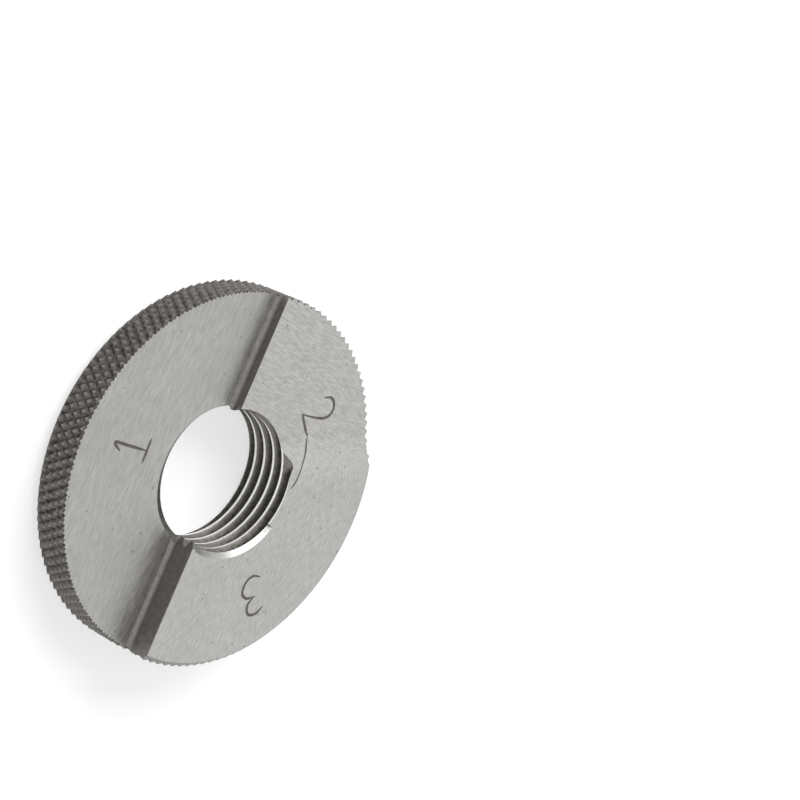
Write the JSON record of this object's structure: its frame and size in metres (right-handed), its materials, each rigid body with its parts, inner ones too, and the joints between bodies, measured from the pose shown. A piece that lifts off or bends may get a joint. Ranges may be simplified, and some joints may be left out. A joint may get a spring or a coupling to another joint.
{
  "type": "thread ring gauge",
  "caption": "Stepped taper-thread ring gauge: knurled steel disc with a half-inch pipe thread through it and two ledges milled in the front face.",
  "frame": {"origin": "centre of the plain back face, on the thread's axis", "axes": "+Z along the thread's axis from the plain back face to the stepped front face; +X away from the low half; +Y towards the middle quarter"},
  "size_m": [0.05, 0.05, 0.01],
  "materials": {
    "gauge_steel": "ground satin faces, oxidised knurl"
  },
  "bodies": {
    "root": {"gauge_ring": "gauge_steel"}
  },
  "joints": []
}
